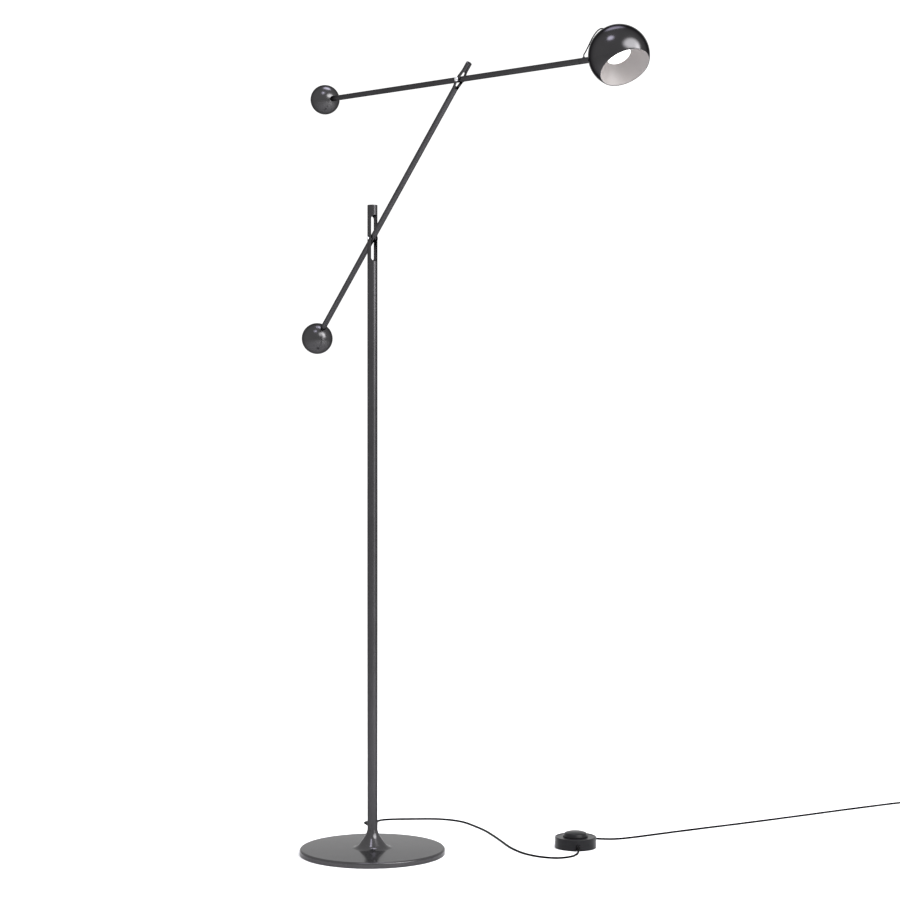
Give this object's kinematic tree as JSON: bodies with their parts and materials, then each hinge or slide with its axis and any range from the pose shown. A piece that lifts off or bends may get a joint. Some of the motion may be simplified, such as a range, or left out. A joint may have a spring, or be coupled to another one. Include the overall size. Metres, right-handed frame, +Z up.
{
  "type": "adjustable arm floor lamp",
  "caption": "Floor lamp with a round weighted base, a slotted pole, counterweighted swinging arms with ball ends, a ball-shaped spot head and a foot switch on its cord.",
  "frame": {"origin": "on the floor, in the middle of the round base, on the pole's axis", "axes": "+Z up, +X towards the side that the head reaches to, +Y away from the side that shows the bright pivot caps"},
  "size_m": [1.0598, 1.4631, 1.5161],
  "materials": {
    "gunmetal": "satin dark grey metal finish",
    "gunmetal_alu": "satin dark grey metal finish on aluminium",
    "zinc": "zinc-plated steel",
    "bright": "bright polished steel",
    "iron": "raw casting",
    "rubber": "soft matt black",
    "cord": "matt black cord sheath",
    "black_plastic": "fine matt texture",
    "pale_plastic": "plain moulded plastic",
    "white_reflector": "satin white-grey coating",
    "opal": "opal light disc",
    "board": "white circuit board",
    "sink": "raw aluminium"
  },
  "bodies": {
    "stand": {"base_cover": "gunmetal", "ballast_disc": "iron", "base_pad": "rubber", "pole_stud": "zinc", "stud_nut": "zinc", "pole_foot": "zinc", "pole_tube": "gunmetal", "pole_slot_part": "gunmetal", "pole_cap": "gunmetal", "pole_wire": "cord", "cord_gland": "rubber", "lower_pin": "zinc", "lower_pin_caps": "bright", "cord_to_switch": "cord", "switch_feet": "rubber", "switch_floor": "black_plastic", "switch_housing": "black_plastic", "switch_screws": "zinc", "contact_block": "pale_plastic", "button_spring": "bright", "relief_in": "rubber", "relief_out": "rubber", "cord_to_plug": "cord", "cord_coil": "cord", "coil_tie": "black_plastic", "cord_tail": "cord", "plug_relief": "rubber", "plug_body": "black_plastic", "plug_blades": "bright"},
    "lower_arm": {"lower_arm_tube": "gunmetal", "lower_arm_eye": "gunmetal", "lower_bush": "bright", "lower_ball": "gunmetal", "lower_ball_stud": "zinc", "lower_arm_wire": "cord", "upper_pin": "zinc", "upper_pin_caps": "bright"},
    "upper_arm": {"upper_arm_tube": "gunmetal", "upper_bush": "bright", "upper_ball": "gunmetal_alu", "upper_ball_stud": "zinc", "upper_arm_wire": "cord", "swivel_spigot": "bright"},
    "swivel": {"head_sleeve": "gunmetal", "seat_cup": "bright", "seat_magnet": "zinc", "lead_grommet": "rubber", "head_lead": "cord"},
    "head": {"head_shell": "gunmetal", "reflector": "white_reflector", "light_disc": "opal", "led_board": "board", "heat_sink": "sink", "board_screws": "zinc", "head_grommet": "rubber"},
    "button": {"foot_button": "black_plastic"}
  },
  "joints": [
    {"name": "lower_arm_swing", "type": "hinge", "parent": "stand", "child": "lower_arm", "pos_m": [0, 0, 1.1915], "axis": [0, 1, 0], "range_deg": [-28, 33]},
    {"name": "upper_arm_swing", "type": "hinge", "parent": "lower_arm", "child": "upper_arm", "pos_m": [0.29629, 0, 1.45272], "axis": [0, 1, 0], "range_deg": [-12, 94]},
    {"name": "head_swivel", "type": "hinge", "parent": "upper_arm", "child": "swivel", "pos_m": [0.74514, 0, 1.42054], "axis": [0.9974, 0, -0.0715], "range_deg": [-80, 80]},
    {"name": "head_tilt", "type": "hinge", "parent": "swivel", "child": "head", "pos_m": [0.74514, 0, 1.42054], "axis": [0, 1, 0], "range_deg": [-38, 15], "deforming": ["head_lead"]},
    {"name": "foot_button_press", "type": "slide", "parent": "stand", "child": "button", "axis": [0, 0, -1], "range_m": [0, 0.0025], "stiffness_N_per_m": 1200, "springref_m": -0.004, "deforming": ["button_spring"]}
  ]
}
